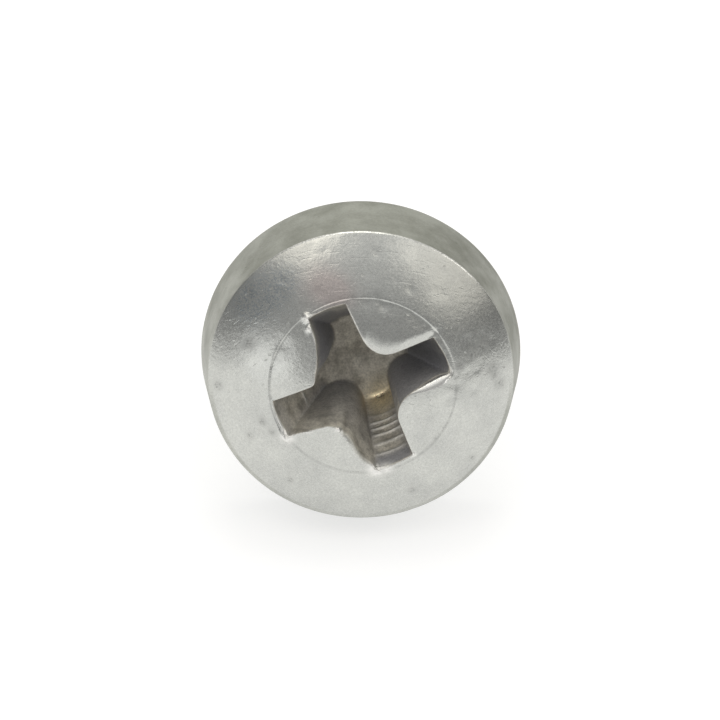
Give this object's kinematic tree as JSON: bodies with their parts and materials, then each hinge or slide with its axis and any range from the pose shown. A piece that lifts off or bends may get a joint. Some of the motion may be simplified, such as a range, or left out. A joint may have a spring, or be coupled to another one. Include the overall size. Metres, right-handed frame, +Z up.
{
  "type": "machine screw",
  "caption": "Short machine screw with a domed pan head, a cross recess for a driver and a metric coarse thread, lying on its side.",
  "frame": {"origin": "on the table, under the centre of the box round the lying screw", "axes": "+Z up from the table; +Y from the head towards the end of the shank, which points down to the table; +X to the right of someone who faces the head"},
  "size_m": [0.008, 0.0094, 0.0079],
  "materials": {
    "plated_steel": "bright zinc-plated steel, tumbled to a satin sheen, with fine scuffs and a dull brown-grey recess"
  },
  "bodies": {
    "root": {"screw": "plated_steel"}
  },
  "joints": []
}
